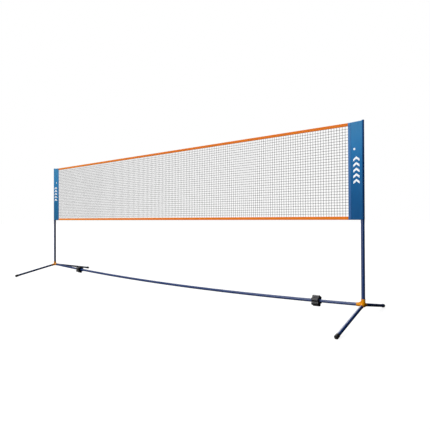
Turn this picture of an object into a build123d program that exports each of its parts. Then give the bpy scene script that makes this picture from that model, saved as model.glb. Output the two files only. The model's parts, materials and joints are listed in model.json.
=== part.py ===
from build123d import *

import math
import os

# Portable badminton net, in millimetres.
# X runs along the net, Y across it and Z up. The origin is on the floor, midway between the posts.
# One steel crossbar, bowed by the tension of the net, joins two plastic corner connectors. Each
# connector also carries a post and two splayed legs. The net is sewn to a sleeve at each end, and
# the sleeves slip over the upper posts, which plug into the lower posts.

# ---- driving dimensions -------------------------------------------------------------------------
POST_X = 2250.0  # from the middle of the net to a post's axis
NET_TOP = 1549.0  # top edge of the net's upper tape
NET_DEPTH = 768.0  # from the upper tape's top edge to the lower tape's bottom edge
CONNECTOR_Z = 125.0  # where the axes of a connector's sockets meet
CROSSBAR_LOW = 70.0  # lowest point of the crossbar's axis, at mid span
LEG_SLOPE = 11.0  # degrees that a leg falls towards its foot
LEG_REACH = 588.0  # from the connector's centre to the tip of the foot, along the leg

# ---- tubes --------------------------------------------------------------------------------------
LARGE_R = 14.0  # outer radius of posts and of the crossbar's middle tubes
SMALL_R = 12.7  # outer radius of legs and of the crossbar's end tubes
TUBE_WALL = 1.2
RUNNING_FIT = 0.1  # radial clearance of a tube in its socket
LARGE_BORE = LARGE_R - TUBE_WALL
SMALL_BORE = SMALL_R - TUBE_WALL
PLUG_R = LARGE_BORE - RUNNING_FIT  # outer radius of what plugs into a large tube
PLUG_BORE = PLUG_R - TUBE_WALL

# ---- crossbar -----------------------------------------------------------------------------------
LOCK_X = {"right": 1868.5, "left": -1597.5}  # middles of the twist locks
JOINT_X = {"right": 716.5, "left": -438.5}  # joints between the middle tubes
TELESCOPE_OVERLAP = 150.0  # how far an end tube reaches into its middle tube
FERRULE_HALF = 60.0
JOINT_GAP = 0.6  # left open between two middle tubes that meet on a ferrule
BUTTON_FROM_JOINT = 30.0
HOLED_STRETCH = 15.0  # half the length of the straight stretch round a button hole
CROSSBAR_SAG = CONNECTOR_Z - CROSSBAR_LOW
ARC_R = (POST_X**2 + CROSSBAR_SAG**2) / (2 * CROSSBAR_SAG)
ARC_CENTRE_Z = CROSSBAR_LOW + ARC_R

# ---- corner connector ---------------------------------------------------------------------------
POST_SOCKET_R = 15.8
POST_SOCKET_TOP = 44.0  # above the connector's centre
POST_SEAT = 14.5  # above the connector's centre
HUB_BOTTOM = 17.0  # below the connector's centre
SIDE_SOCKET_R = 14.5  # the crossbar's socket and the legs' sockets
CROSSBAR_SEAT = 17.0  # from the connector's centre
CROSSBAR_SOCKET_END = 50.0
LEG_SEAT = 4.0  # from the connector's centre
LEG_SOCKET_END = 48.0
RIM_HEIGHT = 0.7
RIM_LENGTH = 4.0
GUSSET_THICKNESS = 12.0
GUSSET_HEIGHT = 29.0  # up the post socket
GUSSET_REACH = 38.0  # along the crossbar socket
SOCKET_BUTTON_X = POST_X - 36.0

# ---- twist lock ---------------------------------------------------------------------------------
KNOB_HALF = 30.0  # half its length along the crossbar
KNOB_LOBE_R = 46.0
KNOB_NOTCH_R = 34.5
KNOB_NOTCH_ROUND = 14.0  # radius of the round notch between two lobes
KNOB_LOBES = 6
KNOB_LOBE_ANGLE = 35.0  # degrees from +Y up to the first lobe
KNOB_SKIN = 4.0
KNOB_HUB_R = 22.0
KNOB_RIB = 3.0  # thickness
KNOB_CAP = 4.0
KNOB_CLEARANCE = 0.4
COLLET_R = 17.5
COLLET_NOSE_R = 15.5
COLLET_BACK = 22.0
COLLET_FRONT = 18.0
COLLET_GRIP = 0.15  # radial clearance of the collet's nose on the small tube
COLLET_SLIT = 1.5

# ---- snap button --------------------------------------------------------------------------------
BUTTON_R = 3.6
BUTTON_HOLE_R = 3.9
BUTTON_TIP = 17.0  # from the tube's axis
BUTTON_FLANGE_R = 4.5
BUTTON_FLANGE_TOP = 9.9
BUTTON_FLANGE = 1.2
SPRING_THICKNESS = 0.6
SPRING_WIDTH = 7.0
SPRING_LENGTH = 40.0
SPRING_FAR_SIDE = 10.1  # from the tube's axis, away from the button

# ---- foot ---------------------------------------------------------------------------------------
FOOT_R = 15.5
FOOT_LENGTH = 36.0
FOOT_END = 6.0  # rubber beyond the end of the leg tube
FOOT_ROUND = 7.5
FOOT_FIT = 0.05

# ---- posts --------------------------------------------------------------------------------------
POST_JOINT_Z = 860.0  # the upper post stands on the lower post here, inside the sleeve
POST_PLUG_LENGTH = 80.0
POST_TOP_Z = 1547.0
POST_CAP = 3.0

# ---- net ----------------------------------------------------------------------------------------
NET_HALF = 2141.0  # from the middle of the net to the edge of a sleeve
TAPE_WIDTH = 25.0
TAPE_THICKNESS = 5.6
TAPE_CLOTH = 0.6
CORD_R = 2.0
NETTING_THICKNESS = 1.2

# ---- sleeve -------------------------------------------------------------------------------------
SLEEVE_CLOTH = 0.8
SLEEVE_CLEARANCE = 0.5
SLEEVE_PEAK_Z = 1553.0
HEM_WIDTH = 20.0
HEM_THICKNESS = 2.0

SIDES = {"right": 1, "left": -1}
BACK_AND_FRONT = {"front": -1, "back": 1}


# ---- helpers ------------------------------------------------------------------------------------
def cylinder(radius, start, end):
    """A cylinder on the local Z axis, from start to end."""
    return Pos(0, 0, start) * extrude(Circle(radius), end - start)


def ring(outer, inner, start, end):
    """A tube on the local Z axis, from start to end."""
    return Pos(0, 0, start) * extrude(Circle(outer) - Circle(inner), end - start)


def crossbar_height(x):
    """Height of the crossbar's bowed axis at x."""
    return ARC_CENTRE_Z - math.sqrt(ARC_R**2 - x**2)


def crossbar_frame(x, towards=1):
    """A place on the crossbar at x: local Z runs along the bar to +X or -X, and local X is +Y."""
    lean = math.asin(x / ARC_R)
    along = (towards * math.cos(lean), 0, towards * math.sin(lean))
    return Plane(origin=(x, 0, crossbar_height(x)), x_dir=(0, 1, 0), z_dir=along).location


def crossbar_tube(start, end, outer, inner):
    """A stretch of bowed tube between two places along X."""
    turn = math.degrees(math.asin(end / ARC_R) - math.asin(start / ARC_R))
    section = crossbar_frame(start) * (Circle(outer) - Circle(inner))
    return revolve(section, Axis((0, 0, ARC_CENTRE_Z), (0, -1, 0)), turn)


def straight_crossbar_rod(start, end, radius):
    """A straight rod between the crossbar's cross sections at two places along X."""
    ends = [crossbar_frame(x) * Circle(radius) for x in (start, end)]
    return loft(ends, ruled=True)


def button_hole(place, reach):
    """The round hole for a snap button, on the tube's +Y side."""
    return place * Rot(0, 90, 0) * cylinder(BUTTON_HOLE_R, 0, reach)


def holed_crossbar_tube(start, end, outer, inner, hole_x):
    """A bowed tube with a button hole. The tube is straight for a short stretch round the hole."""
    before, after = hole_x - HOLED_STRETCH, hole_x + HOLED_STRETCH
    stretch = straight_crossbar_rod(before, after, outer) - straight_crossbar_rod(before, after, inner)
    stretch -= button_hole(crossbar_frame(hole_x), 2 * outer)
    near = crossbar_tube(start, before, outer, inner)
    far = crossbar_tube(after, end, outer, inner)
    return near.fuse(stretch, far, tol=1e-4)


def leg_frame(side, across):
    """The connector's centre with local Z along a leg and local X along +X."""
    slope = math.radians(LEG_SLOPE)
    along = (0, across * math.cos(slope), -math.sin(slope))
    return Plane(origin=(side * POST_X, 0, CONNECTOR_Z), x_dir=(1, 0, 0), z_dir=along).location


def on_side(part, side):
    """A part made for the +X end, or its mirror image for the other end."""
    return part if side > 0 else mirror(part, about=Plane.YZ)


# ---- corner connector ---------------------------------------------------------------------------
def socket(radius, end):
    """A socket's outside, from the connector's centre, with a raised rim at its mouth."""
    return cylinder(radius, 0, end) + cylinder(radius + RIM_HEIGHT, end - RIM_LENGTH, end)


def gusset():
    """The web that braces the post socket against the crossbar socket, with a hollowed edge."""
    top = (-POST_SOCKET_R, GUSSET_HEIGHT)
    foot = (-GUSSET_REACH, SIDE_SOCKET_R - 1.5)
    edge = ThreePointArc(top, (-25, 20), foot)
    rest = Polyline(foot, (-GUSSET_REACH, 0), (0, 0), (0, GUSSET_HEIGHT), top)
    web = Plane.XZ * make_face([edge, rest])
    return extrude(web, GUSSET_THICKNESS / 2, both=True)


def corner_connector():
    """The moulded connector of the +X end: sockets for a post, the crossbar and two legs."""
    centre = Pos(POST_X, 0, CONNECTOR_Z)
    crossbar = crossbar_frame(POST_X, -1)
    body = centre * (
        Pos(0, 0, -HUB_BOTTOM) * socket(POST_SOCKET_R, HUB_BOTTOM + POST_SOCKET_TOP) + gusset()
    )
    body += crossbar * socket(SIDE_SOCKET_R, CROSSBAR_SOCKET_END)
    for across in BACK_AND_FRONT.values():
        body += leg_frame(1, across) * socket(SIDE_SOCKET_R, LEG_SOCKET_END)

    side_bore_r = SMALL_R + RUNNING_FIT
    body -= centre * cylinder(LARGE_R + RUNNING_FIT, POST_SEAT, POST_SOCKET_TOP)
    body -= crossbar * cylinder(side_bore_r, CROSSBAR_SEAT, CROSSBAR_SOCKET_END)
    for across in BACK_AND_FRONT.values():
        body -= leg_frame(1, across) * cylinder(side_bore_r, LEG_SEAT, LEG_SOCKET_END)
    return body - button_hole(crossbar_frame(SOCKET_BUTTON_X, -1), 2 * SIDE_SOCKET_R)


# ---- crossbar pieces ----------------------------------------------------------------------------
def middle_ferrule(towards):
    """The plug that joins two middle tubes, with a button hole on its free half."""
    joint = JOINT_X["right" if towards > 0 else "left"]
    hole_x = joint + towards * BUTTON_FROM_JOINT
    return holed_crossbar_tube(
        joint - FERRULE_HALF, joint + FERRULE_HALF, PLUG_R, PLUG_BORE, hole_x
    )


def outer_middle_tube(towards):
    """A middle tube between a plug joint and a twist lock."""
    name = "right" if towards > 0 else "left"
    start, end = sorted((JOINT_X[name] + towards * JOINT_GAP / 2, LOCK_X[name]))
    hole_x = JOINT_X[name] + towards * BUTTON_FROM_JOINT
    return holed_crossbar_tube(start, end, LARGE_R, LARGE_BORE, hole_x)


def end_tube(towards):
    """The telescoping tube between a twist lock and a connector."""
    inner_end = LOCK_X["right" if towards > 0 else "left"] - towards * TELESCOPE_OVERLAP
    start, end = sorted((inner_end, towards * (POST_X - CROSSBAR_SEAT)))
    hole_x = towards * SOCKET_BUTTON_X
    return holed_crossbar_tube(start, end, SMALL_R, SMALL_BORE, hole_x)


# ---- snap button --------------------------------------------------------------------------------
def snap_button():
    """A domed pin with a flange, on local X, pointing out of the tube's +Y side."""
    flange_bottom = BUTTON_FLANGE_TOP - BUTTON_FLANGE
    pin = fillet(cylinder(BUTTON_R, flange_bottom, BUTTON_TIP).faces().sort_by(Axis.Z)[-1].edges(), 2.0)
    return Rot(0, 90, 0) * (pin + cylinder(BUTTON_FLANGE_R, flange_bottom, BUTTON_FLANGE_TOP))


def button_spring():
    """A leaf bent into a V: one leg under the button's flange, the other on the far wall."""
    near = BUTTON_FLANGE_TOP - BUTTON_FLANGE - SPRING_THICKNESS
    route = FilletPolyline(
        (near, 0, 6),
        (near, 0, -7),
        (0, 0, -SPRING_LENGTH),
        (-SPRING_FAR_SIDE, 0, -7),
        (-SPRING_FAR_SIDE, 0, 6),
        radius=1.5,
    )
    start = Plane(origin=(near, 0, 6), x_dir=(1, 0, 0), z_dir=(0, 0, -1))
    return sweep(start * Rectangle(SPRING_THICKNESS, SPRING_WIDTH), route)


# ---- twist lock ---------------------------------------------------------------------------------
def knob_outline(inset, first_lobe):
    """The six-lobed outline, drawn in by an inset."""
    notch_at = KNOB_NOTCH_R + KNOB_NOTCH_ROUND
    half_step = 180.0 / KNOB_LOBES
    notches = PolarLocations(notch_at, KNOB_LOBES, first_lobe + half_step) * Circle(
        KNOB_NOTCH_ROUND + inset
    )
    outline = Circle(KNOB_LOBE_R - inset) - notches
    return fillet(outline.vertices(), 1.5)


def lock_knob(first_lobe):
    """The hand knob: a lobed skin, a hub over the collet, ribs and a front wall."""
    back = -KNOB_HALF + KNOB_CAP
    collet_room = COLLET_R + KNOB_CLEARANCE
    front_wall = KNOB_HALF - KNOB_SKIN
    outside = Pos(0, 0, back) * extrude(knob_outline(0, first_lobe), KNOB_HALF - back)
    outside = chamfer(outside.faces().sort_by(Axis.Z)[-1].edges(), 1.5)
    hollow = Pos(0, 0, back) * extrude(knob_outline(KNOB_SKIN, first_lobe), front_wall - back)
    hub = cylinder(KNOB_HUB_R, back, front_wall)
    rib_start, rib_end = KNOB_HUB_R - 2, KNOB_LOBE_R - KNOB_SKIN / 2
    rib = Pos((rib_start + rib_end) / 2, 0, (back + front_wall) / 2) * Box(
        rib_end - rib_start, KNOB_RIB, front_wall - back
    )
    ribs = PolarLocations(0, KNOB_LOBES, first_lobe) * rib
    knob = outside - (hollow - hub - ribs)
    knob -= cylinder(collet_room, back, COLLET_FRONT + 1)
    return knob - cylinder(SMALL_R + KNOB_CLEARANCE, 0, KNOB_HALF)


def lock_knob_cap(first_lobe):
    """The disc that closes the back of the knob round the large tube."""
    disc = Pos(0, 0, -KNOB_HALF) * extrude(knob_outline(0, first_lobe), KNOB_CAP)
    disc = chamfer(disc.faces().sort_by(Axis.Z)[0].edges(), 1.5)
    return disc - cylinder(LARGE_R + KNOB_CLEARANCE, -KNOB_HALF, 0)


def lock_collet():
    """The split collet on the large tube's end, whose nose grips the small tube."""
    profile = make_face(
        Polyline(
            (LARGE_R + RUNNING_FIT, -COLLET_BACK),
            (COLLET_R, -COLLET_BACK),
            (COLLET_R, 2),
            (COLLET_NOSE_R, COLLET_FRONT),
            (SMALL_R + COLLET_GRIP, COLLET_FRONT),
            (SMALL_R + COLLET_GRIP, 0.5),
            (LARGE_R + RUNNING_FIT, 0.5),
            close=True,
        )
    )
    collet = revolve(Plane.XZ * profile, Axis.Z)
    slit = Pos(0, 0, (4 + COLLET_FRONT) / 2) * Box(2 * COLLET_R, COLLET_SLIT, COLLET_FRONT - 4)
    return collet - slit - Rot(0, 0, 90) * slit


# ---- legs and feet ------------------------------------------------------------------------------
def leg_tube():
    """A leg, on local Z from the connector's centre."""
    return ring(SMALL_R, SMALL_BORE, LEG_SEAT, LEG_REACH - FOOT_END)


def foot(side, across):
    """The rubber foot on a leg, cut flat where it stands on the floor."""
    cup = cylinder(FOOT_R, LEG_REACH - FOOT_LENGTH, LEG_REACH)
    cup = fillet(cup.faces().sort_by(Axis.Z)[-1].edges(), FOOT_ROUND)
    cup = chamfer(cup.faces().sort_by(Axis.Z)[0].edges().sort_by(SortBy.RADIUS)[-1], 1.2)
    cup -= cylinder(SMALL_R + FOOT_FIT, LEG_REACH - FOOT_LENGTH, LEG_REACH - FOOT_END)
    below_floor = Pos(side * POST_X, across * LEG_REACH, -50) * Box(200, 400, 100)
    return leg_frame(side, across) * cup - below_floor


# ---- posts --------------------------------------------------------------------------------------
def lower_post(side):
    return Pos(side * POST_X, 0, 0) * ring(
        LARGE_R, LARGE_BORE, CONNECTOR_Z + POST_SEAT, POST_JOINT_Z
    )


def upper_post(side):
    """A tube whose swaged end plugs into the lower post."""
    neck_z = POST_JOINT_Z + 6
    tube = cylinder(LARGE_R, POST_JOINT_Z, POST_TOP_Z)
    tube += cylinder(PLUG_R, POST_JOINT_Z - POST_PLUG_LENGTH, POST_JOINT_Z)
    tube -= cylinder(LARGE_BORE, neck_z, POST_TOP_Z)
    tube -= cylinder(PLUG_BORE, POST_JOINT_Z - POST_PLUG_LENGTH, neck_z)
    return Pos(side * POST_X, 0, 0) * tube


def post_cap(side):
    """The plastic plug in the top of a post."""
    head = cylinder(LARGE_R, POST_TOP_Z, POST_TOP_Z + POST_CAP)
    head = fillet(head.faces().sort_by(Axis.Z)[-1].edges(), 2.0)
    return Pos(side * POST_X, 0, 0) * (head + cylinder(PLUG_R, POST_TOP_Z - 20, POST_TOP_Z))


# ---- net ----------------------------------------------------------------------------------------
def tape(bottom):
    """A tape folded into a flat tube, from sleeve to sleeve."""
    middle = bottom + TAPE_WIDTH / 2
    section = RectangleRounded(TAPE_THICKNESS, TAPE_WIDTH, 2.0) - RectangleRounded(
        TAPE_THICKNESS - 2 * TAPE_CLOTH, TAPE_WIDTH - 2 * TAPE_CLOTH, 1.4
    )
    start = Plane(origin=(-NET_HALF, 0, middle), x_dir=(0, 1, 0), z_dir=(1, 0, 0))
    return extrude(start * section, 2 * NET_HALF)


def tape_cord(height):
    """The cord that runs through a tape."""
    start = Plane(origin=(-NET_HALF, 0, height), x_dir=(0, 1, 0), z_dir=(1, 0, 0))
    return extrude(start * Circle(CORD_R), 2 * NET_HALF)


def netting():
    """The netting between the tapes, as a thin slab."""
    height = NET_DEPTH - 2 * TAPE_WIDTH
    return Pos(0, 0, NET_TOP - NET_DEPTH / 2) * Box(2 * NET_HALF, NETTING_THICKNESS, height)


# ---- sleeve -------------------------------------------------------------------------------------
def sleeve_outline(radius, tip_x, half_tip):
    """A round pocket at the post whose two sides run in to a narrow tip at tip_x."""
    run = POST_X - tip_x
    reach = math.hypot(run, half_tip)
    tangent = math.acos(radius / reach) - math.atan2(half_tip, run)
    touch_x = POST_X - radius * math.cos(tangent)
    touch_y = radius * math.sin(tangent)
    sides = make_face(
        Polyline(
            (tip_x, -half_tip),
            (touch_x, -touch_y),
            (touch_x, touch_y),
            (tip_x, half_tip),
            close=True,
        )
    )
    return sides + Pos(POST_X, 0) * Circle(radius)


def sleeve():
    """The sewn sleeve of the +X end, open at the bottom and closed over the post."""
    pocket_r = LARGE_R + SLEEVE_CLEARANCE
    outer_r = pocket_r + SLEEVE_CLOTH
    bottom = NET_TOP - NET_DEPTH
    hem_end = NET_HALF + HEM_WIDTH
    cap_z = POST_TOP_Z + POST_CAP + SLEEVE_CLEARANCE
    skin = Pos(0, 0, bottom) * extrude(
        sleeve_outline(outer_r, hem_end, HEM_THICKNESS / 2), NET_DEPTH
    )
    peak = Pos(POST_X, 0, 0) * cylinder(outer_r, bottom, SLEEVE_PEAK_Z)
    skin += fillet(peak.faces().sort_by(Axis.Z)[-1].edges(), 1.5)
    skin -= Pos(0, 0, bottom) * extrude(
        sleeve_outline(pocket_r, hem_end + 8, 0.1), NET_DEPTH - SLEEVE_CLOTH
    )
    skin -= Pos(POST_X, 0, 0) * cylinder(pocket_r, bottom, cap_z)
    hem = Pos(NET_HALF + HEM_WIDTH / 2, 0, bottom + NET_DEPTH / 2)
    return skin + hem * Box(HEM_WIDTH, HEM_THICKNESS, NET_DEPTH)


# ---- the assembly -------------------------------------------------------------------------------
def build_parts():
    parts = {}
    for name, side in SIDES.items():
        parts[f"{name}_corner_connector"] = on_side(corner_connector(), side)
        parts[f"{name}_lower_post"] = lower_post(side)
        parts[f"{name}_upper_post"] = upper_post(side)
        parts[f"{name}_post_cap"] = post_cap(side)
        parts[f"{name}_sleeve"] = on_side(sleeve(), side)

        lock = crossbar_frame(LOCK_X[name], side)
        first_lobe = side * KNOB_LOBE_ANGLE
        parts[f"{name}_crossbar_end"] = end_tube(side)
        parts[f"{name}_crossbar_middle"] = outer_middle_tube(side)
        parts[f"{name}_crossbar_ferrule"] = middle_ferrule(side)
        parts[f"{name}_lock_collet"] = lock * lock_collet()
        parts[f"{name}_lock_knob"] = lock * lock_knob(first_lobe)
        parts[f"{name}_lock_knob_cap"] = lock * lock_knob_cap(first_lobe)

        buttons = {
            "middle": crossbar_frame(JOINT_X[name] + side * BUTTON_FROM_JOINT, side),
            "socket": crossbar_frame(side * SOCKET_BUTTON_X, side),
        }
        for place, at in buttons.items():
            parts[f"{name}_{place}_button"] = at * snap_button()
            parts[f"{name}_{place}_button_spring"] = at * button_spring()

        for row, across in BACK_AND_FRONT.items():
            parts[f"{name}_{row}_leg"] = leg_frame(side, across) * leg_tube()
            parts[f"{name}_{row}_foot"] = foot(side, across)

    centre_start, centre_end = JOINT_X["left"] + JOINT_GAP / 2, JOINT_X["right"] - JOINT_GAP / 2
    parts["crossbar_centre"] = crossbar_tube(centre_start, centre_end, LARGE_R, LARGE_BORE)
    net_bottom = NET_TOP - NET_DEPTH
    cord_inset = TAPE_CLOTH + CORD_R + 0.3
    parts["top_tape"] = tape(NET_TOP - TAPE_WIDTH)
    parts["bottom_tape"] = tape(net_bottom)
    parts["top_cord"] = tape_cord(NET_TOP - cord_inset)
    parts["bottom_cord"] = tape_cord(net_bottom + cord_inset)
    parts["netting"] = netting()
    return parts


os.makedirs("parts", exist_ok=True)
for node, part in build_parts().items():
    export_step(part, f"parts/{node}.step")
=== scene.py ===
import json
import math
import random

import bpy
from mathutils import Matrix, Vector, noise


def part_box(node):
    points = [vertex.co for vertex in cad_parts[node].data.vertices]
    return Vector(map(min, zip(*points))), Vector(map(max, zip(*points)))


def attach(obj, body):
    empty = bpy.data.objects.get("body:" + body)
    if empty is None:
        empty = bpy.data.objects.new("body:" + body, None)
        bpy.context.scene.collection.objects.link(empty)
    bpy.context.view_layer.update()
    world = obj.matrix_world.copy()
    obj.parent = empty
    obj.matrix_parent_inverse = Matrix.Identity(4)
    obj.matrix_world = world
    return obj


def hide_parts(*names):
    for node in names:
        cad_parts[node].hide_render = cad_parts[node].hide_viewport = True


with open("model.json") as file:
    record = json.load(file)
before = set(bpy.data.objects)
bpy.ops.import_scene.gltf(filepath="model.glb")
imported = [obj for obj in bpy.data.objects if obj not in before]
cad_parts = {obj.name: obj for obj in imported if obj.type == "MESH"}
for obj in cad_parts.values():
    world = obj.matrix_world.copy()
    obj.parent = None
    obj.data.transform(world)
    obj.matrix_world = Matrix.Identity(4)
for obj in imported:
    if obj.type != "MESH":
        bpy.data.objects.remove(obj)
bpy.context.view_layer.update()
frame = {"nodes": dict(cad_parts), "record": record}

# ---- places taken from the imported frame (metres) --------------------------------------------------
NODES = frame["nodes"]
SIDES = {"right": 1, "left": -1}


def centre_of(node, axis):
    low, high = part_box(node)
    return (low[axis] + high[axis]) / 2


POST_X = centre_of("right_upper_post", 0)
POST_R = (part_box("right_upper_post")[1][1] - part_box("right_upper_post")[0][1]) / 2
NET_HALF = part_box("netting")[1][0]
NET_LOW, NET_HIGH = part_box("netting")[0][2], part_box("netting")[1][2]
TAPE_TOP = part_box("top_tape")[1][2]
TAPE_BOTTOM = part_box("bottom_tape")[0][2]
MM = 0.001


# ---- camera ---------------------------------------------------------------------------------------
CAMERA_PLACE = (3.180, -3.0425, 0.7956)
CAMERA_TURN = 38.07  # degrees to the left of +Y
CAMERA_TILT = 0.41  # degrees upwards
CAMERA_ROLL = -0.24  # degrees
FOCAL_LENGTH = 32.09  # on a 36 mm sensor
CAMERA_SHIFT = 0.0019


def make_camera():
    data = bpy.data.cameras.new("camera")
    data.lens = FOCAL_LENGTH
    data.sensor_width = 36
    data.shift_y = CAMERA_SHIFT
    camera = bpy.data.objects.new("camera", data)
    camera.location = CAMERA_PLACE
    turn = Matrix.Rotation(math.radians(CAMERA_TURN), 3, "Z")
    tilt = Matrix.Rotation(math.radians(90 + CAMERA_TILT), 3, "X")
    roll = Matrix.Rotation(math.radians(CAMERA_ROLL), 3, "Z")
    camera.rotation_euler = (turn @ tilt @ roll).to_euler()
    bpy.context.scene.collection.objects.link(camera)
    bpy.context.scene.camera = camera


# ---- material building ----------------------------------------------------------------------------
def linear(r, g, b):
    """A 0-255 screen colour as the linear colour that shaders use."""

    def one(c):
        c /= 255
        return c / 12.92 if c <= 0.04045 else ((c + 0.055) / 1.055) ** 2.4

    return (one(r), one(g), one(b), 1)


class Surface:
    """A procedural material: a Principled shader and short calls that add nodes to it."""

    def __init__(self, name, roughness=0.5, **constants):
        self.material = bpy.data.materials.new(name)
        self.material.use_nodes = True
        self.tree = self.material.node_tree
        self.shader = self.tree.nodes["Principled BSDF"]
        self.shader.inputs["Roughness"].default_value = roughness
        for socket, value in constants.items():
            self.shader.inputs[socket.replace("_", " ")].default_value = value
        self.place = self.tree.nodes.new("ShaderNodeTexCoord").outputs["Object"]

    def link(self, source, socket):
        if isinstance(source, bpy.types.NodeSocket):
            self.tree.links.new(source, socket)
        else:
            socket.default_value = source

    def stretched(self, x, y, z):
        """The object's own coordinates, scaled on each axis."""
        node = self.tree.nodes.new("ShaderNodeMapping")
        self.link(self.place, node.inputs["Vector"])
        node.inputs["Scale"].default_value = (x, y, z)
        return node.outputs["Vector"]

    def axis(self, index):
        node = self.tree.nodes.new("ShaderNodeSeparateXYZ")
        self.link(self.place, node.inputs[0])
        return node.outputs[index]

    def noise(self, where, scale=1.0, detail=3.0, roughness=0.5):
        node = self.tree.nodes.new("ShaderNodeTexNoise")
        self.link(where, node.inputs["Vector"])
        node.inputs["Scale"].default_value = scale
        node.inputs["Detail"].default_value = detail
        node.inputs["Roughness"].default_value = roughness
        return node.outputs["Fac"]

    def math(self, kind, a, b=0.0, c=0.0):
        node = self.tree.nodes.new("ShaderNodeMath")
        node.operation = kind
        for value, socket in zip((a, b, c), node.inputs):
            self.link(value, socket)
        return node.outputs[0]

    def ramp(self, value, low, high, start=0.0, end=1.0):
        """value from low to high, mapped smoothly to start to end."""
        node = self.tree.nodes.new("ShaderNodeMapRange")
        node.interpolation_type = "SMOOTHSTEP"
        for name, number in zip(("From Min", "From Max", "To Min", "To Max"), (low, high, start, end)):
            node.inputs[name].default_value = number
        self.link(value, node.inputs["Value"])
        return node.outputs["Result"]

    def mix(self, share, a, b):
        node = self.tree.nodes.new("ShaderNodeMix")
        node.data_type = "RGBA"
        for value, socket in zip((share, a, b), (node.inputs[0], node.inputs[6], node.inputs[7])):
            self.link(value, socket)
        return node.outputs[2]

    def colour(self, value):
        self.link(value, self.shader.inputs["Base Color"])

    def rough(self, value):
        self.link(value, self.shader.inputs["Roughness"])

    def bump(self, height, distance, strength):
        node = self.tree.nodes.new("ShaderNodeBump")
        node.inputs["Strength"].default_value = strength
        node.inputs["Distance"].default_value = distance
        self.link(height, node.inputs["Height"])
        self.link(node.outputs["Normal"], self.shader.inputs["Normal"])


def weave(s, across, along, pitch):
    """Height of a plain weave from two crossing sets of threads, 0 to 1."""
    rate = math.pi / pitch
    a = s.math("ABSOLUTE", s.math("SINE", s.math("MULTIPLY", across, rate)))
    b = s.math("ABSOLUTE", s.math("SINE", s.math("MULTIPLY", along, rate)))
    return s.math("MULTIPLY", s.math("ADD", a, b), 0.5)


# ---- materials ------------------------------------------------------------------------------------
def powder_coat(name, scuffed=False):
    """Navy powder coat: fine orange peel, uneven gloss, and rubbed streaks where tubes slide."""
    s = Surface(name, Specular_IOR_Level=0.5)
    cloudy = s.noise(s.place, scale=9, detail=4)
    navy = s.mix(cloudy, linear(2, 32, 80), linear(6, 50, 108))
    specks = s.ramp(s.noise(s.place, scale=260, detail=2), 0.70, 0.76)
    navy = s.mix(s.math("MULTIPLY", specks, 0.35), navy, linear(48, 70, 112))
    if scuffed:
        streaks = s.ramp(s.noise(s.stretched(4, 420, 420), detail=2), 0.60, 0.70)
        navy = s.mix(s.math("MULTIPLY", streaks, 0.35), navy, linear(96, 112, 146))
    s.colour(navy)
    s.rough(s.ramp(s.noise(s.place, scale=40, detail=3), 0.3, 0.7, 0.26, 0.40))
    s.bump(s.noise(s.place, scale=520, detail=2), 0.00012, 0.6)
    return s.material


def amber_plastic():
    """Moulded amber nylon: faint flow marks, fine grain and a little dirt."""
    s = Surface("amber_plastic", Specular_IOR_Level=0.12)
    flow = s.noise(s.stretched(18, 18, 60), detail=4, roughness=0.6)
    amber = s.mix(flow, linear(196, 120, 0), linear(214, 142, 0))
    dirt = s.ramp(s.noise(s.place, scale=120, detail=4), 0.62, 0.74)
    s.colour(s.mix(s.math("MULTIPLY", dirt, 0.25), amber, linear(148, 76, 0)))
    s.rough(s.ramp(flow, 0.3, 0.7, 0.34, 0.48))
    s.bump(s.noise(s.place, scale=900, detail=2), 0.00010, 0.5)
    return s.material


def black_plastic(name, grain):
    """Black moulded plastic with a spark-eroded grain."""
    s = Surface(name, Specular_IOR_Level=0.5)
    cloudy = s.noise(s.place, scale=45, detail=4)
    s.colour(s.mix(cloudy, linear(18, 18, 19), linear(36, 36, 38)))
    s.rough(s.ramp(cloudy, 0.3, 0.7, 0.42, 0.56))
    s.bump(s.noise(s.place, scale=grain, detail=3), 0.00018, 0.7)
    return s.material


DUST_HEIGHT = 14 * MM  # above the floor


def rubber():
    """Black rubber, dusty low down where it meets the floor."""
    s = Surface("rubber", Specular_IOR_Level=0.3)
    height = s.axis(2)
    dust_noise = s.noise(s.place, scale=160, detail=5, roughness=0.7)
    low = s.ramp(height, 0.0, DUST_HEIGHT, 1.0, 0.0)
    dust = s.math("MULTIPLY", low, s.ramp(dust_noise, 0.4, 0.65))
    s.colour(s.mix(s.math("MULTIPLY", dust, 0.6), linear(9, 9, 10), linear(104, 100, 92)))
    s.rough(s.ramp(dust_noise, 0.3, 0.7, 0.40, 0.60))
    s.bump(dust_noise, 0.00015, 0.6)
    return s.material


def steel(name, base):
    """Nickel-plated steel with fine drawn lines."""
    s = Surface(name, Metallic=1.0)
    lines = s.noise(s.stretched(60, 900, 900), detail=3)
    s.colour(s.mix(lines, linear(*base), linear(*(min(255, c + 28) for c in base))))
    s.rough(s.ramp(lines, 0.3, 0.7, 0.22, 0.38))
    s.bump(lines, 0.00005, 0.5)
    return s.material


def pale_nylon():
    """Natural nylon of the collets."""
    s = Surface("pale_nylon", Subsurface_Weight=0.1)
    cloudy = s.noise(s.place, scale=60, detail=4)
    s.colour(s.mix(cloudy, linear(214, 210, 196), linear(232, 229, 218)))
    s.rough(s.ramp(cloudy, 0.3, 0.7, 0.35, 0.5))
    s.bump(s.noise(s.place, scale=800), 0.0001, 0.4)
    return s.material


PLY_PITCH = 2.2 * MM  # of the netting cord's twist
BRAID_PITCH = 1.6 * MM
RIB_PITCH = 1.1 * MM
THREAD_PITCH = 0.9 * MM  # of the sleeves' weave
STITCH_TWIST = 9000  # radians in a metre


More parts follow.
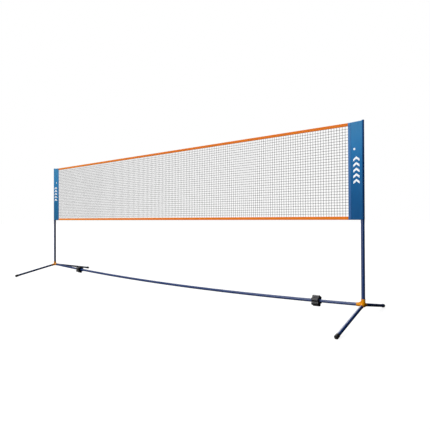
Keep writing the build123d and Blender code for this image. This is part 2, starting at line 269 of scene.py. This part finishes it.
def net_cord():
    """Dark twisted nylon cord of the netting."""
    s = Surface("net_cord", roughness=0.7, Sheen_Weight=0.15)
    twist = s.math("ADD", s.math("ADD", s.axis(0), s.axis(2)), s.math("MULTIPLY", s.axis(1), 2.0))
    plies = s.math("ABSOLUTE", s.math("SINE", s.math("MULTIPLY", twist, math.pi / PLY_PITCH)))
    s.colour(s.mix(plies, linear(12, 12, 14), linear(30, 30, 35)))
    s.bump(plies, 0.0003, 0.8)
    return s.material


def white_cord():
    """Braided white cord inside the tapes."""
    s = Surface("white_cord", roughness=0.7, Sheen_Weight=0.2)
    braid = weave(s, s.axis(0), s.axis(2), BRAID_PITCH)
    s.colour(s.mix(braid, linear(190, 188, 180), linear(228, 226, 218)))
    s.bump(braid, 0.0003, 0.8)
    return s.material


LIGHTER_TO_X = 0.4  # the tapes are lighter and yellower from their left ends to here


def tape_webbing():
    """Orange woven tape: ribs across its width, and lighter and yellower towards its left end."""
    s = Surface("tape_webbing", roughness=0.62, Sheen_Weight=0.05, Specular_IOR_Level=0.2)
    ribs = weave(s, s.axis(0), s.axis(2), RIB_PITCH)
    cloudy = s.noise(s.stretched(14, 60, 60), detail=4)
    orange = s.mix(cloudy, linear(216, 106, 4), linear(232, 126, 10))
    # lighter and yellower towards the left end
    lighter_left = s.ramp(s.axis(0), -NET_HALF, LIGHTER_TO_X, 0.6, 0.0)
    orange = s.mix(lighter_left, orange, linear(238, 142, 4))
    orange = s.mix(s.math("MULTIPLY", ribs, 0.25), orange, linear(186, 82, 2))
    s.colour(orange)
    s.rough(s.ramp(cloudy, 0.3, 0.7, 0.55, 0.70))
    s.bump(ribs, 0.00022, 0.8)
    return s.material


def thread(name, base):
    """Sewing thread with a visible twist."""
    s = Surface(name, roughness=0.5, Sheen_Weight=0.2)
    twist = s.math("SINE", s.math("MULTIPLY", s.math("ADD", s.axis(0), s.axis(2)), STITCH_TWIST))
    light = tuple(min(255, c + 30) for c in base)
    s.colour(s.mix(s.math("MULTIPLY_ADD", twist, 0.5, 0.5), linear(*base), linear(*light)))
    s.bump(twist, 0.0001, 0.6)
    return s.material


PALE_REACH = 0.34  # how far down from its top a sleeve is palest
PAINTED_SHEEN = {"right": 0.0, "left": 0.09}  # how much painted sheen each sleeve gets: the left one, seen at a glancing angle, is painted paler
POCKET_SHADE_FROM, POCKET_SHADE_TO = POST_X + 3.5 * MM, POST_X + 6.5 * MM  # where the painted shade on the pocket's outer half begins, as the cloth turns away round the post
PRINT_LOW, PRINT_HIGH = 1.082, 1.302  # the print's lowest and highest points
PRINT_X = POST_X - 43 * MM  # its middle
PRINT_HALF = 25 * MM
PRINT_MARKS = 5
PRINT_SLOPE = 0.75
PRINT_STROKE = 0.42  # the share of each mark's height that is printed
DOT_R = 9 * MM
DOT_X = PRINT_X - 16 * MM
DOT_Z = PRINT_HIGH + 34 * MM


def sleeve_cloth(name, side, painted_sheen):
    """Blue coated polyester: a printed fade from top to bottom, a white print, painted shade on the
    pocket's outer half, and a painted sheen that makes a sleeve paler.
    """
    s = Surface(name, Sheen_Weight=0.02, Sheen_Roughness=0.4, Specular_IOR_Level=0.12)
    height, along = s.axis(2), s.math("MULTIPLY", s.axis(0), side)
    threads = weave(s, along, height, THREAD_PITCH)
    cloudy = s.noise(s.stretched(30, 30, 8), detail=4)

    fade = s.ramp(height, TAPE_BOTTOM, TAPE_TOP)
    blue = s.mix(fade, linear(2, 74, 124), linear(24, 112, 172))
    high = s.ramp(height, TAPE_TOP - PALE_REACH, TAPE_TOP)
    blue = s.mix(high, blue, linear(54, 122, 170))
    hem_edge = NET_HALF + HEM
    hem = s.ramp(along, hem_edge + 1 * MM, hem_edge - 2 * MM)
    blue = s.mix(s.math("MULTIPLY", hem, 0.3), blue, linear(96, 128, 190))
    seam = s.math("ABSOLUTE", s.math("SUBTRACT", along, hem_edge + 1.5 * MM))
    blue = s.mix(s.ramp(seam, 1 * MM, 3 * MM, 0.35, 0.0), blue, linear(8, 52, 100))
    # painted shade: beyond the post's axis the pocket's cloth is painted darker where it turns away round
    # the post, lighter towards the top with the print's fade
    pocket_shade = s.mix(high, linear(10, 50, 100), linear(20, 84, 150))
    blue = s.mix(s.ramp(along, POCKET_SHADE_FROM, POCKET_SHADE_TO), blue, pocket_shade)
    blue = s.mix(s.math("MULTIPLY", cloudy, 0.12), blue, linear(16, 60, 110))
    # painted sheen: the whole sleeve is mixed towards a pale cyan by its share, standing in for haze at a
    # glancing view
    blue = s.mix(painted_sheen, blue, linear(60, 200, 245))
    blue = s.mix(print_mask(s, along, height), blue, linear(236, 240, 244))

    s.colour(blue)
    s.rough(s.ramp(cloudy, 0.3, 0.7, 0.46, 0.60))
    s.bump(threads, 0.00016, 0.7)
    return s.material


def print_mask(s, along, height):
    """A plain sport motif: a column of chevrons with a dot above it."""
    step = (PRINT_HIGH - PRINT_LOW) / PRINT_MARKS
    off_middle = s.math("ABSOLUTE", s.math("SUBTRACT", along, PRINT_X))
    slope = s.math("MULTIPLY", off_middle, PRINT_SLOPE)
    bent = s.math("ADD", s.math("SUBTRACT", height, PRINT_LOW), slope)
    stroke = s.math("LESS_THAN", s.math("FRACT", s.math("DIVIDE", bent, step)), PRINT_STROKE)
    inside = s.math("LESS_THAN", off_middle, PRINT_HALF)
    above = s.math("GREATER_THAN", bent, 0.0)
    below = s.math("LESS_THAN", bent, PRINT_MARKS * step)
    column = s.math("MULTIPLY", s.math("MULTIPLY", above, below), inside)
    chevrons = s.math("MULTIPLY", stroke, column)
    dot_x = s.math("POWER", s.math("SUBTRACT", along, DOT_X), 2.0)
    dot_z = s.math("POWER", s.math("SUBTRACT", height, DOT_Z), 2.0)
    distance = s.math("SQRT", s.math("ADD", dot_x, dot_z))
    return s.math("MAXIMUM", chevrons, s.math("LESS_THAN", distance, DOT_R))


# ---- mesh building --------------------------------------------------------------------------------
def piece(name, points, faces, material):
    """A smooth mesh of one material that rides on the net's body."""
    mesh = bpy.data.meshes.new(name)
    mesh.from_pydata([tuple(p) for p in points], [], faces)
    mesh.materials.append(material)
    mesh.shade_smooth()
    made = bpy.data.objects.new(name, mesh)
    bpy.context.scene.collection.objects.link(made)
    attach(made, "net")
    return made


def thicken(made, thickness):
    """Gives a cloth mesh its thickness, half to each side."""
    solid = made.modifiers.new("cloth_thickness", "SOLIDIFY")
    solid.thickness = thickness
    solid.offset = 0


def grid_faces(rows, columns):
    """Quads between rows of points."""
    faces = []
    for first in range(0, (rows - 1) * columns, columns):
        for low in range(first, first + columns - 1):
            faces.append((low, low + 1, low + columns + 1, low + columns))
    return faces


def clamped(value):
    """value, kept between 0 and 1."""
    return max(0.0, min(1.0, value))


class Builder:
    """Collects many small closed shapes into one mesh."""

    def __init__(self):
        self.points, self.faces = [], []

    def tube(self, rings):
        """A closed tube through rings of points."""
        first, count = len(self.points), len(rings[0])
        for ring in rings:
            self.points.extend(ring)
        for r in range(len(rings) - 1):
            for c in range(count):
                d = (c + 1) % count
                low, high = first + r * count, first + (r + 1) * count
                self.faces.append((low + c, low + d, high + d, high + c))
        last = first + (len(rings) - 1) * count
        self.faces.append(tuple(range(first + count - 1, first - 1, -1)))
        self.faces.append(tuple(range(last, last + count)))


# ---- netting --------------------------------------------------------------------------------------
COLUMNS, ROWS = 188, 32
CORD_R = 1.5 * MM  # thicker than the real cord, so that it reads as in the photo
CORD_SIDES = 5
KNOT_R = 2.8 * MM
KNOT_HALF = 1.25 * KNOT_R  # half a knot's length
KNOT_SIDES = 6
STRAY = 0.3 * MM  # how far a crossing lies off the perfect grid
BILLOW = 5 * MM
HELD_COLUMNS, HELD_ROWS = 3, 2  # crossings this near an edge are held more and more firmly


def knot_places():
    """The netting's crossings, a little off a perfect grid, as in a net that hangs under tension."""
    rng = random.Random(7)
    places = {}
    for i in range(COLUMNS + 1):
        for k in range(ROWS + 1):
            x = -NET_HALF + 2 * NET_HALF * i / COLUMNS
            z = NET_LOW + (NET_HIGH - NET_LOW) * k / ROWS
            free = clamped(min(i, COLUMNS - i) / HELD_COLUMNS) * clamped(min(k, ROWS - k) / HELD_ROWS)
            stray = Vector([rng.uniform(-STRAY, STRAY) for _ in range(3)])
            stray.y += BILLOW * noise.noise(Vector((x * 1.3, z * 2.2, 4)))
            places[i, k] = Vector((x, 0, z)) + stray * free
    return places


def ring_of_points(centre, u, v, radius, sides):
    """Points evenly round a centre, from the direction u towards v."""
    ring = []
    for n in range(sides):
        turn = 2 * math.pi * n / sides
        ring.append(centre + u * (radius * math.cos(turn)) + v * (radius * math.sin(turn)))
    return ring


def add_knot(builder, centre):
    """A small tight knot: a six-sided spindle, tilted across the crossing."""
    first = len(builder.points)
    tilt = Vector((1, 0, 1)).normalized()
    side = Vector((1, 0, -1)).normalized()
    builder.points += [centre - tilt * KNOT_HALF, centre + tilt * KNOT_HALF]
    builder.points += ring_of_points(centre, side, Vector((0, 1, 0)), KNOT_R, KNOT_SIDES)
    for n in range(KNOT_SIDES):
        a, b = first + 2 + n, first + 2 + (n + 1) % KNOT_SIDES
        builder.faces.append((first, a, b))
        builder.faces.append((first + 1, b, a))


def make_netting():
    places = knot_places()
    builder = Builder()
    x_axis, y_axis, z_axis = Vector((1, 0, 0)), Vector((0, 1, 0)), Vector((0, 0, 1))

    def cord(u, v, path):
        builder.tube([ring_of_points(places[at], u, v, CORD_R, CORD_SIDES) for at in path])

    for i in range(1, COLUMNS):
        cord(x_axis, y_axis, [(i, k) for k in range(ROWS + 1)])
    for k in range(1, ROWS):
        cord(y_axis, z_axis, [(i, k) for i in range(COLUMNS + 1)])
    for i in range(1, COLUMNS):
        for k in range(1, ROWS):
            add_knot(builder, places[i, k])
    net = piece("netting_cords", builder.points, builder.faces, net_cord())
    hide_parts("netting")


# ---- stitches -------------------------------------------------------------------------------------
THREAD_R = 0.32 * MM
STITCH = 3.2 * MM
STITCH_GAP = 1.2 * MM
STITCH_START = 1.0 * MM
STITCH_SIDES = 4
# along a stitch: the share of its length, its rise and its radius, both in thread radii
STITCH_SHAPE = ((0, -0.1, 0.5), (0.3, 0.8, 1), (0.7, 0.8, 1), (1, -0.1, 0.5))


def add_stitches(builder, path, outward):
    """A row of stitches along a path of points. outward is the way off the cloth."""
    lengths = [0.0]
    for a, b in zip(path, path[1:]):
        lengths.append(lengths[-1] + (b - a).length)

    def at(distance):
        n = 1
        while n < len(path) - 1 and lengths[n] < distance:
            n += 1
        share = (distance - lengths[n - 1]) / (lengths[n] - lengths[n - 1])
        return path[n - 1].lerp(path[n], share)

    start = STITCH_START
    while start + STITCH < lengths[-1]:
        a, b = at(start), at(start + STITCH)
        across = (b - a).cross(outward).normalized()
        rings = []
        for share, rise, radius in STITCH_SHAPE:
            middle = a.lerp(b, share) + outward * (rise * THREAD_R)
            rings.append(ring_of_points(middle, across, outward, radius * THREAD_R, STITCH_SIDES))
        builder.tube(rings)
        start += STITCH + STITCH_GAP


# ---- tapes ----------------------------------------------------------------------------------------
TAPE_CLOTH = 0.6 * MM
TAPE_LIP = 1.5 * MM  # from the netting's plane to the middle of the tape's cloth
TAPE_CORD_R = 2.45 * MM  # from the cord's axis to the middle of the cloth
TAPE_STEP = 12 * MM
TAPE_TUCK = 6 * MM  # how far each end runs under the sleeve's hem
TAPE_OVERLAP = 1 * MM  # of its lips over the netting's edge
TAPE_SLACK = 0.5 * MM  # its slow wander: 0.6 of this sideways and 0.3 of it up and down
PUCKER = 0.22 * MM  # of the sewing, strongest at the lips
PUCKER_REACH = 8 * MM  # from the lips
SEAM_FROM_LIP = 3.5 * MM
LIP_STEPS, FOLD_STEPS = 6, 8


def tape_swell(share):
    """How far the cloth stands off the netting's plane, from the lip (0) to the cord (1)."""
    return TAPE_LIP + (TAPE_CORD_R - TAPE_LIP) * share**2


def tape_profile(lip_z, cord_z):
    """The tape's folded section, from its front lip round the cord to its back lip, as (y, z)."""
    up = 1 if cord_z > lip_z else -1
    front, fold = [], []
    for n in range(LIP_STEPS + 1):
        share = n / LIP_STEPS
        front.append((-tape_swell(share), lip_z + (cord_z - lip_z) * share))
    for n in range(1, FOLD_STEPS):
        turn = math.pi * n / FOLD_STEPS
        fold.append((-TAPE_CORD_R * math.cos(turn), cord_z + up * TAPE_CORD_R * math.sin(turn)))
    return front + fold + [(-y, z) for y, z in reversed(front)]


def make_tape(name, node, lip_z, edge_z, webbing, stitch_thread):
    """One tape, folded over the netting's edge and sewn near its lips."""
    up = 1 if edge_z > lip_z else -1
    cord_z = edge_z - up * (TAPE_CORD_R + TAPE_CLOTH / 2)
    profile = tape_profile(lip_z, cord_z)
    half = NET_HALF + TAPE_TUCK
    steps = round(2 * half / TAPE_STEP)
    seed = 11 if up > 0 else 23
    seam_y = tape_swell(SEAM_FROM_LIP / abs(cord_z - lip_z)) + TAPE_CLOTH / 2
    seam_z = lip_z + up * SEAM_FROM_LIP
    points = []
    seams = {-1: [], 1: []}
    for n in range(steps + 1):
        x = -half + 2 * half * n / steps
        slack = TAPE_SLACK * noise.noise(Vector((x * 3.1, seed, 0)))
        pucker = PUCKER * noise.noise(Vector((x * 55, seed, 9)))
        sway, drop = 0.6 * slack, 0.3 * slack
        for y, z in profile:
            near_lip = clamped(1 - abs(z - lip_z) / PUCKER_REACH)
            points.append((x, y + pucker * (0.4 + near_lip) + sway, z + drop))
        for face, seam in seams.items():
            seam.append(Vector((x, face * seam_y + pucker + sway, seam_z + drop)))
    cloth = piece(name, points, grid_faces(steps + 1, len(profile)), webbing)
    thicken(cloth, TAPE_CLOTH)
    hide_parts(node)

    builder = Builder()
    for face, seam in seams.items():
        add_stitches(builder, seam, Vector((0, face, 0)))
    rows = piece(name + "_stitches", builder.points, builder.faces, stitch_thread)


# ---- sleeves --------------------------------------------------------------------------------------
# t is the distance in from the post's axis, towards the net
CLOTH = 0.7 * MM
POCKET_R = POST_R + 0.95 * MM  # to the middle of the cloth
SLEEVE_WIDTH = POST_X - NET_HALF
HEM = 20 * MM
HEM_START = SLEEVE_WIDTH - HEM
HEM_HALF = 1.5 * MM  # half the gap between the hem's two layers
HEM_STEPS, PANEL_STEPS, POCKET_STEPS = 4, 18, 20
SLEEVE_ROW = 6 * MM
TOP_RISE = 3.2 * MM  # of the sleeve's top edge, from the net to the post
TOP_RISE_END = 16 * MM
EAR_RISE = 5 * MM
EAR_START, EAR_REACH = 4 * MM, 9 * MM
TOP_SLOPE = 7 * MM  # below the top edge, where the two faces start to close
# towards the top edge: the distance below it, and the share of the sleeve's depth that is left
TOP_CLOSING = (
    (6.0 * MM, 1.0),
    (4.2 * MM, 0.96),
    (2.6 * MM, 0.86),
    (1.3 * MM, 0.68),
    (0.5 * MM, 0.42),
    (0.0, 0.10),
)
RIPPLE, PULL, HEM_PUCKER = 1.5 * MM, 0.9 * MM, 0.35 * MM  # heights of upright, slanting, sewn waves
RIPPLE_START, RIPPLE_GROW = 10 * MM, 20 * MM  # from the post's axis, and the width they grow over
RIPPLE_END = 25 * MM  # the width over which they die out towards the net
PUCKER_WIDTH = 9 * MM  # to each side of the start of the hem
TAPE_BULGE = 1.9 * MM  # how far the hem swells over the end of a tape
BULGE_HEIGHT = 30 * MM  # from the tape's outer edge to where the swelling has died out
BULGE_FADE = 10 * MM  # the part of that height over which it dies out
BULGE_RAMP = 12 * MM  # the width over which it grows, centred on the start of the hem
SEAM_STEP = 4 * MM  # between the points that a hem's seam follows
SEAM_END = 3 * MM  # from the sleeve's edges to the seams up its hem
END_SEAMS = (TAPE_BOTTOM + 14 * MM, TAPE_TOP - 9 * MM)  # heights of the seams across a face
END_SEAM_START = 16 * MM  # just clear of the post


def sleeve_section():
    """The sleeve's cut as (t, y): from the front hem round the post to the back hem."""
    tip = math.hypot(HEM_START, HEM_HALF)
    tangent = math.acos(POCKET_R / tip) - math.atan2(HEM_HALF, HEM_START)
    touch_t, touch_y = POCKET_R * math.cos(tangent), -POCKET_R * math.sin(tangent)
    front = [(SLEEVE_WIDTH - HEM * n / HEM_STEPS, -HEM_HALF) for n in range(HEM_STEPS)]
    for n in range(PANEL_STEPS + 1):
        share = n / PANEL_STEPS
        t = HEM_START + (touch_t - HEM_START) * share
        y = -HEM_HALF + (touch_y + HEM_HALF) * share
        front.append((t, y))
    pocket = []
    for n in range(1, POCKET_STEPS):
        turn = -tangent - (2 * math.pi - 2 * tangent) * n / POCKET_STEPS
        pocket.append((POCKET_R * math.cos(turn), POCKET_R * math.sin(turn)))
    return front + pocket + [(t, -y) for t, y in reversed(front)]


def sleeve_top(t):
    """Height of the closed top edge: a slow rise along the panel and an ear beyond the post."""
    panel = clamped((SLEEVE_WIDTH - t) / (SLEEVE_WIDTH - TOP_RISE_END))
    ear = clamped((EAR_START - t) / EAR_REACH)
    return TAPE_TOP + TOP_RISE * panel + EAR_RISE * ear * ear * (3 - 2 * ear)


def sleeve_point(side, t, y, z, seed):
    """A point of the cloth with its slack: soft upright ripples, pinched where it is sewn."""
    front = -1 if y < 0 else 1
    panel = clamped((t - RIPPLE_START) / RIPPLE_GROW) * clamped((SLEEVE_WIDTH - t) / RIPPLE_END)
    ripple = noise.noise(Vector((t * 38, z * 5.5, seed + front)))
    pull = noise.noise(Vector(((t + z) * 16, (t - z) * 5, seed + 3 * front)))
    y += panel * (RIPPLE * ripple + PULL * pull)
    near_hem = clamped(1 - abs(t - HEM_START) / PUCKER_WIDTH)
    y += front * near_hem * HEM_PUCKER * noise.noise(Vector((z * 90, seed, front)))
    from_edge = min(z - TAPE_BOTTOM, TAPE_TOP - z)
    over_tape = clamped((BULGE_HEIGHT - from_edge) / BULGE_FADE)
    over_tape *= clamped((t - HEM_START + BULGE_RAMP / 2) / BULGE_RAMP)
    y += front * TAPE_BULGE * over_tape
    return Vector((side * (POST_X - t), y, z))


def sew_sleeve(side, section, seed):
    """The stitches of each face: two rows up its hem, and a row across it near each end."""
    builder = Builder()

    def seam(face, route):
        path = [sleeve_point(side, t, y, z, seed) for t, y, z in route]
        off = Vector((0, face, 0))
        add_stitches(builder, [point + off * (CLOTH / 2) for point in path], off)

    count = int((TAPE_TOP - TAPE_BOTTOM - 2 * SEAM_END) / SEAM_STEP) + 1
    heights = [TAPE_BOTTOM + SEAM_END + n * SEAM_STEP for n in range(count)]
    for face in (-1, 1):
        panel = [(t, y) for t, y in section if y * face > 0 and END_SEAM_START < t < HEM_START]
        for t in (HEM_START, SLEEVE_WIDTH - SEAM_END):
            seam(face, [(t, face * HEM_HALF, z) for z in heights])
        for z in END_SEAMS:
            seam(face, [(t, y, z) for t, y in panel])
    return builder


def make_sleeve(name, side, cloth_material, thread_material):
    section = sleeve_section()
    seed = 31 if side > 0 else 47
    rows = round((TAPE_TOP - TAPE_BOTTOM) / SLEEVE_ROW)
    points = []
    for level in range(rows + len(TOP_CLOSING)):
        for t, y in section:
            top = sleeve_top(t)
            if level < rows:
                z = TAPE_BOTTOM + (top - TOP_SLOPE - TAPE_BOTTOM) * level / rows
                squeeze = 1.0
            else:
                below, squeeze = TOP_CLOSING[level - rows]
                z = top - CLOTH / 2 - below
            point = sleeve_point(side, t, y, z, seed)
            point.y *= squeeze
            points.append(point)
    faces = grid_faces(rows + len(TOP_CLOSING), len(section))
    if side < 0:
        faces = [face[::-1] for face in faces]
    cloth = piece(f"{name}_sleeve_cloth", points, faces, cloth_material)
    thicken(cloth, CLOTH)
    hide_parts(f"{name}_sleeve")

    builder = sew_sleeve(side, section, seed)
    seams = piece(f"{name}_sleeve_stitches", builder.points, builder.faces, thread_material)


# ---- studio ---------------------------------------------------------------------------------------
ROOM_BRIGHT, ROOM_DARK = 0.50, 0.01  # the room's light from the bright side and from the far side
ROOM_FROM = (-0.55, -0.43, 0.72)  # the bright side: overhead and to the viewer's left
DARK_TO, BRIGHT_FROM = -0.5, 0.9  # how far a direction points that way, where each light is reached
KEY_POWER = 2.0
KEY_SIZE = 50  # degrees across, as a large soft box
KEY_TILT, KEY_TURN = 34, -22  # degrees from overhead towards the viewer, and to the viewer's left
SIDE_POWER = 1.6
SIDE_SIZE = 40
SIDE_TILT, SIDE_TURN = 80, -16
BACK_POWER = 1.5  # keeps the far side readable
BACK_SIZE = 40
BACK_TILT, BACK_TURN = 66, -144
FLOOR_GREY = (130, 130, 130)  # with FLOOR_GLOW, the floor comes out just white
FLOOR_GLOW = 0.82
FLOOR_HALF = 60.0
FLOOR_DROP = 0.2 * MM  # below the feet, so that no faces coincide


def make_world():
    """A white studio: plain white to look at, and a soft light that is strongest from one side."""
    world = bpy.data.worlds.new("studio")
    bpy.context.scene.world = world
    world.use_nodes = True
    tree = world.node_tree
    background = tree.nodes["Background"]
    background.inputs["Color"].default_value = (1, 1, 1, 1)
    direction = tree.nodes.new("ShaderNodeTexCoord").outputs["Generated"]
    towards = tree.nodes.new("ShaderNodeVectorMath")
    towards.operation = "DOT_PRODUCT"
    towards.inputs[1].default_value = ROOM_FROM
    tree.links.new(direction, towards.inputs[0])
    room = tree.nodes.new("ShaderNodeMapRange")
    room.interpolation_type = "SMOOTHSTEP"
    limits = {"From Min": DARK_TO, "From Max": BRIGHT_FROM, "To Min": ROOM_DARK, "To Max": ROOM_BRIGHT}
    for name, number in limits.items():
        room.inputs[name].default_value = number
    tree.links.new(towards.outputs["Value"], room.inputs["Value"])
    seen = tree.nodes.new("ShaderNodeMix")
    tree.links.new(tree.nodes.new("ShaderNodeLightPath").outputs["Is Camera Ray"], seen.inputs[0])
    tree.links.new(room.outputs["Result"], seen.inputs[2])
    seen.inputs[3].default_value = 1.0
    tree.links.new(seen.outputs[0], background.inputs["Strength"])


def make_floor():
    """A white floor that takes faint shadows and throws no light back on the object."""
    mesh = bpy.data.meshes.new("floor")
    far = FLOOR_HALF
    mesh.from_pydata([(-far, -far, 0), (far, -far, 0), (far, far, 0), (-far, far, 0)], [], [(0, 1, 2, 3)])
    floor = bpy.data.objects.new("floor", mesh)
    floor.location.z = -FLOOR_DROP
    floor.visible_diffuse = False
    floor.visible_glossy = False
    bpy.context.scene.collection.objects.link(floor)
    s = Surface("pale_floor", roughness=0.9, Specular_IOR_Level=0.1, Emission_Strength=FLOOR_GLOW)
    s.shader.inputs["Emission Color"].default_value = (1, 1, 1, 1)
    s.colour(linear(*FLOOR_GREY))
    mesh.materials.append(s.material)


def make_sun(name, power, size, tilt, turn):
    sun = bpy.data.lights.new(name, "SUN")
    sun.energy = power
    sun.angle = math.radians(size)
    lamp = bpy.data.objects.new(name, sun)
    lamp.rotation_euler = (math.radians(tilt), 0, math.radians(turn))
    bpy.context.scene.collection.objects.link(lamp)


def make_studio():
    make_world()
    make_floor()
    make_sun("key", KEY_POWER, KEY_SIZE, KEY_TILT, KEY_TURN)
    make_sun("side", SIDE_POWER, SIDE_SIZE, SIDE_TILT, SIDE_TURN)
    make_sun("back", BACK_POWER, BACK_SIZE, BACK_TILT, BACK_TURN)
    bpy.context.scene.view_settings.view_transform = "Standard"


# ---- materials of the CAD parts -------------------------------------------------------------------
def dress_frame():
    coat = powder_coat("powder_coat")
    looks = {
        "tube": coat,
        "connector": amber_plastic(),
        "knob": black_plastic("knob_plastic", 700),
        "post_cap": black_plastic("cap_plastic", 900),
        "foot": rubber(),
        "button": steel("button_steel", (200, 200, 198)),
        "spring": steel("spring_steel", (150, 152, 156)),
        "ferrule": steel("ferrule_steel", (170, 172, 175)),
        "collet": pale_nylon(),
        "cord": white_cord(),
    }
    slots = {part["node"]: part["material_slot"] for part in frame["record"]["subparts"]}
    sliding = powder_coat("powder_coat_scuffed", scuffed=True)
    for node, part in NODES.items():
        look = looks.get(slots[node])
        if node.endswith("crossbar_end"):
            look = sliding
        if look:
            part.data.materials.clear()
            part.data.materials.append(look)


make_camera()
make_studio()
dress_frame()
webbing = tape_webbing()
orange_thread = thread("orange_thread", (214, 96, 24))
blue_thread = thread("blue_thread", (34, 92, 148))
make_tape("top_tape_cloth", "top_tape", NET_HIGH - TAPE_OVERLAP, TAPE_TOP, webbing, orange_thread)
make_tape("bottom_tape_cloth", "bottom_tape", NET_LOW + TAPE_OVERLAP, TAPE_BOTTOM, webbing, orange_thread)
make_netting()
for side_name, side_sign in SIDES.items():
    cloth_look = sleeve_cloth(f"{side_name}_sleeve_print_and_painted_light", side_sign, PAINTED_SHEEN[side_name])
    make_sleeve(side_name, side_sign, cloth_look, blue_thread)
